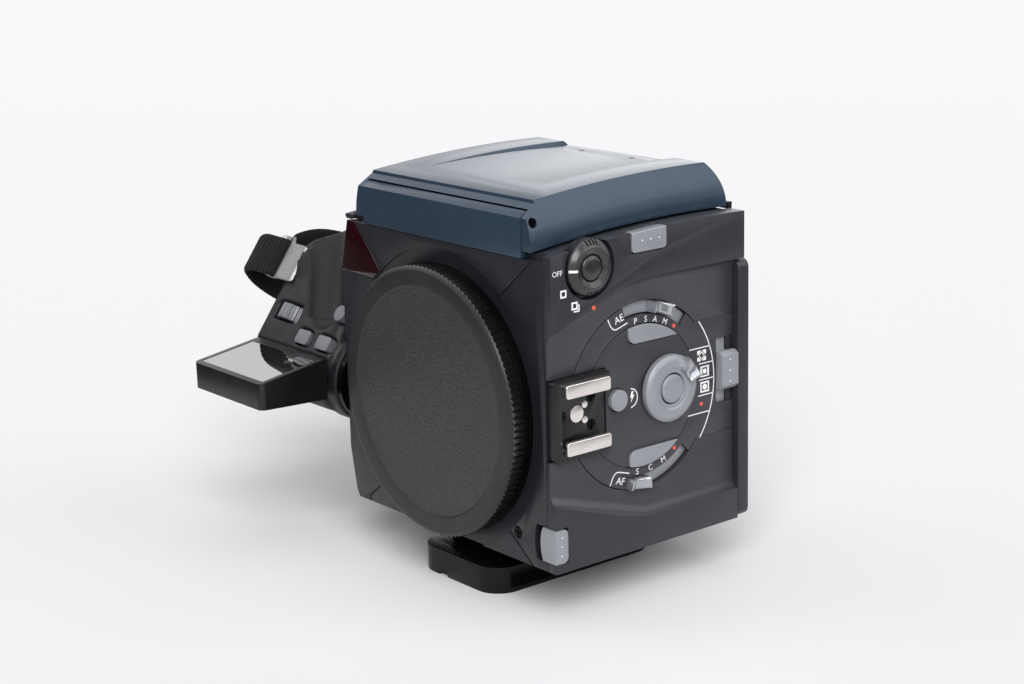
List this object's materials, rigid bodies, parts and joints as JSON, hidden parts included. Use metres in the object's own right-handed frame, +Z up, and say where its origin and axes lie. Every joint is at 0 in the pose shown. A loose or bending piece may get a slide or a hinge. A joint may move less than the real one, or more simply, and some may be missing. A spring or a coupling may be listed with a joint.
{
  "type": "medium format digital camera",
  "caption": "Box-shaped reflex camera body with folding hood, side control disc, body cap, turning hand grip with screen, strap and tripod plate.",
  "frame": {"origin": "centre of the tripod plate's underside", "axes": "+Z up, -Y out of the lens mount, +X out of the control side"},
  "size_m": [0.1775, 0.1054, 0.1224],
  "materials": {
    "body_paint": "fine textured charcoal lacquer",
    "hood_paint": "blue-grey satin lacquer",
    "grey_key": "mid grey satin keys",
    "black_plastic": "fine grained black plastic",
    "rubber_black": "matt black rubber",
    "bright_metal": "bright nickel",
    "black_metal": "black anodised",
    "red_window": "dark red window",
    "clear_glass": "polished",
    "screen_face": "glossy cover glass",
    "mirror_silver": "front surface mirror",
    "board_green": "solder mask",
    "webbing": "woven black webbing",
    "steel": "plain steel"
  },
  "bodies": {
    "body": {"body_shell": "body_paint", "front_plate": "body_paint", "left_cover": "body_paint", "side_cover": "body_paint", "control_disc": "body_paint", "rear_seal": "rubber_black", "rear_hooks": "black_metal", "lens_mount_ring": "bright_metal", "af_lamp_window": "red_window", "focusing_screen": "clear_glass", "main_board": "board_green", "mirror_motor": "steel", "af_sensor": "black_plastic", "cover_screws": "black_metal", "shoe_frame": "black_plastic", "shoe_rails": "bright_metal", "shoe_spring": "bright_metal", "shoe_contacts": "bright_metal", "hood_base": "black_metal", "hood_front": "hood_paint", "lid_pins": "black_metal", "tripod_foot": "black_metal", "tripod_plate": "black_metal", "plate_screw": "steel", "grip_hub": "steel"},
    "cap": {"body_cap": "black_plastic"},
    "rear": {"rear_cover": "body_paint"},
    "mirror": {"mirror_frame": "black_metal", "mirror_glass": "mirror_silver"},
    "flap": {"light_flap": "black_plastic"},
    "dial": {"drive_dial": "black_plastic"},
    "dial_push": {"dial_button": "black_plastic"},
    "hood_push": {"hood_release": "grey_key"},
    "ae_turn": {"ae_lever": "grey_key"},
    "ae_push": {"ae_button": "grey_key"},
    "af_turn": {"af_lever": "grey_key"},
    "af_push": {"af_button": "grey_key"},
    "knob": {"metering_knob": "grey_key"},
    "knob_push": {"metering_button": "grey_key"},
    "flash_push": {"flash_button": "grey_key"},
    "latch": {"back_latch": "grey_key"},
    "lens_push": {"lens_release": "grey_key"},
    "lid": {"hood_lid": "hood_paint"},
    "left_shade": {"left_shield": "black_plastic"},
    "right_shade": {"right_shield": "black_plastic"},
    "magnifier": {"magnifier_frame": "black_plastic", "magnifier_lens": "clear_glass"},
    "grip": {"grip_shell": "black_plastic", "screen_housing": "black_plastic", "screen_glass": "screen_face", "wheel_axle": "steel", "battery_pack": "black_plastic", "strap_buckle": "steel", "hand_strap": "webbing"},
    "wheel": {"control_wheel": "grey_key"},
    "push_a": {"grip_button_a": "grey_key"},
    "push_b": {"grip_button_b": "grey_key"},
    "shutter_push": {"grip_release": "grey_key"},
    "door": {"battery_door": "black_plastic"}
  },
  "joints": [
    {"name": "cap_pull", "type": "slide", "parent": "body", "child": "cap", "axis": [0, -1, 0], "range_m": [0, 0.12]},
    {"name": "rear_open", "type": "hinge", "parent": "body", "child": "rear", "pos_m": [0, 0.039, 0.0148], "axis": [-1, 0, 0], "range_deg": [0, 90]},
    {"name": "mirror_flip", "type": "hinge", "parent": "body", "child": "mirror", "pos_m": [0, 0.03, 0.0865], "axis": [-1, 0, 0], "range_deg": [0, 45]},
    {"name": "flap_fold", "type": "hinge", "parent": "body", "child": "flap", "pos_m": [0, 0.0317, 0.0283], "axis": [1, 0, 0], "range_deg": [0, 90]},
    {"name": "dial_turn", "type": "hinge", "parent": "body", "child": "dial", "pos_m": [0.0495, -0.02, 0.1013], "axis": [1, 0, 0], "range_deg": [0, 96]},
    {"name": "dial_press", "type": "slide", "parent": "dial", "child": "dial_push", "axis": [-1, 0, 0], "range_m": [0, 0.0005], "stiffness_N_per_m": 400},
    {"name": "hood_press", "type": "slide", "parent": "body", "child": "hood_push", "axis": [-1, 0, 0], "range_m": [0, 0.001], "stiffness_N_per_m": 400},
    {"name": "ae_select", "type": "hinge", "parent": "body", "child": "ae_turn", "pos_m": [0.0465, 0.0005, 0.0607], "axis": [1, 0, 0], "range_deg": [-16, 20.6]},
    {"name": "ae_press", "type": "slide", "parent": "body", "child": "ae_push", "axis": [-1, 0, 0], "range_m": [0, 0.001], "stiffness_N_per_m": 400},
    {"name": "af_select", "type": "hinge", "parent": "body", "child": "af_turn", "pos_m": [0.0465, 0.0005, 0.0607], "axis": [1, 0, 0], "range_deg": [0, 38]},
    {"name": "af_press", "type": "slide", "parent": "body", "child": "af_push", "axis": [-1, 0, 0], "range_m": [0, 0.001], "stiffness_N_per_m": 400},
    {"name": "meter_select", "type": "hinge", "parent": "body", "child": "knob", "pos_m": [0.0495, 0.0103, 0.0613], "axis": [1, 0, 0], "range_deg": [-66, 0]},
    {"name": "meter_press", "type": "slide", "parent": "knob", "child": "knob_push", "axis": [-1, 0, 0], "range_m": [0, 0.001], "stiffness_N_per_m": 400},
    {"name": "flash_press", "type": "slide", "parent": "body", "child": "flash_push", "axis": [-1, 0, 0], "range_m": [0, 0.001], "stiffness_N_per_m": 400},
    {"name": "latch_slide", "type": "slide", "parent": "body", "child": "latch", "axis": [0, 0, -1], "range_m": [0, 0.0036], "stiffness_N_per_m": 300},
    {"name": "lens_unlock", "type": "slide", "parent": "body", "child": "lens_push", "axis": [-1, 0, 0], "range_m": [0, 0.0024], "stiffness_N_per_m": 300},
    {"name": "lid_open", "type": "hinge", "parent": "body", "child": "lid", "pos_m": [0, -0.0319, 0.114], "axis": [1, 0, 0], "range_deg": [0, 98]},
    {"name": "left_fold", "type": "hinge", "parent": "body", "child": "left_shade", "pos_m": [-0.035, 0, 0.1115], "axis": [0, -1, 0], "range_deg": [0, 88.2]},
    {"name": "right_fold", "type": "hinge", "parent": "body", "child": "right_shade", "pos_m": [0.035, 0, 0.1115], "axis": [0, 1, 0], "range_deg": [0, 88.2]},
    {"name": "magnifier_swing", "type": "hinge", "parent": "lid", "child": "magnifier", "pos_m": [0, 0.024, 0.1159], "axis": [1, 0, 0], "range_deg": [0, 88.2]},
    {"name": "grip_turn", "type": "hinge", "parent": "body", "child": "grip", "pos_m": [-0.0575, -0.023, 0.051], "axis": [-1, 0, 0], "range_deg": [0, 90]},
    {"name": "wheel_spin", "type": "hinge", "parent": "grip", "child": "wheel", "pos_m": [-0.085, -0.02817, 0.06571], "axis": [0, 0.5878, 0.809], "continuous": true},
    {"name": "press_a", "type": "slide", "parent": "grip", "child": "push_a", "axis": [0, 0.809, -0.5878], "range_m": [0, 0.001], "stiffness_N_per_m": 400},
    {"name": "press_b", "type": "slide", "parent": "grip", "child": "push_b", "axis": [0, 0.809, -0.5878], "range_m": [0, 0.001], "stiffness_N_per_m": 400},
    {"name": "shutter_press", "type": "slide", "parent": "grip", "child": "shutter_push", "axis": [0, 0.809, -0.5878], "range_m": [0, 0.001], "stiffness_N_per_m": 400},
    {"name": "door_drop", "type": "hinge", "parent": "grip", "child": "door", "pos_m": [-0.0744, -0.0026, 0.0383], "axis": [1, 0, 0], "range_deg": [0, 90]}
  ],
  "couplings": [
    {"joint": "flap_fold", "follows": "mirror_flip", "ratio": 2},
    {"joint": "left_fold", "follows": "lid_open", "ratio": 0.9},
    {"joint": "right_fold", "follows": "lid_open", "ratio": 0.9},
    {"joint": "magnifier_swing", "follows": "lid_open", "ratio": 0.9}
  ]
}
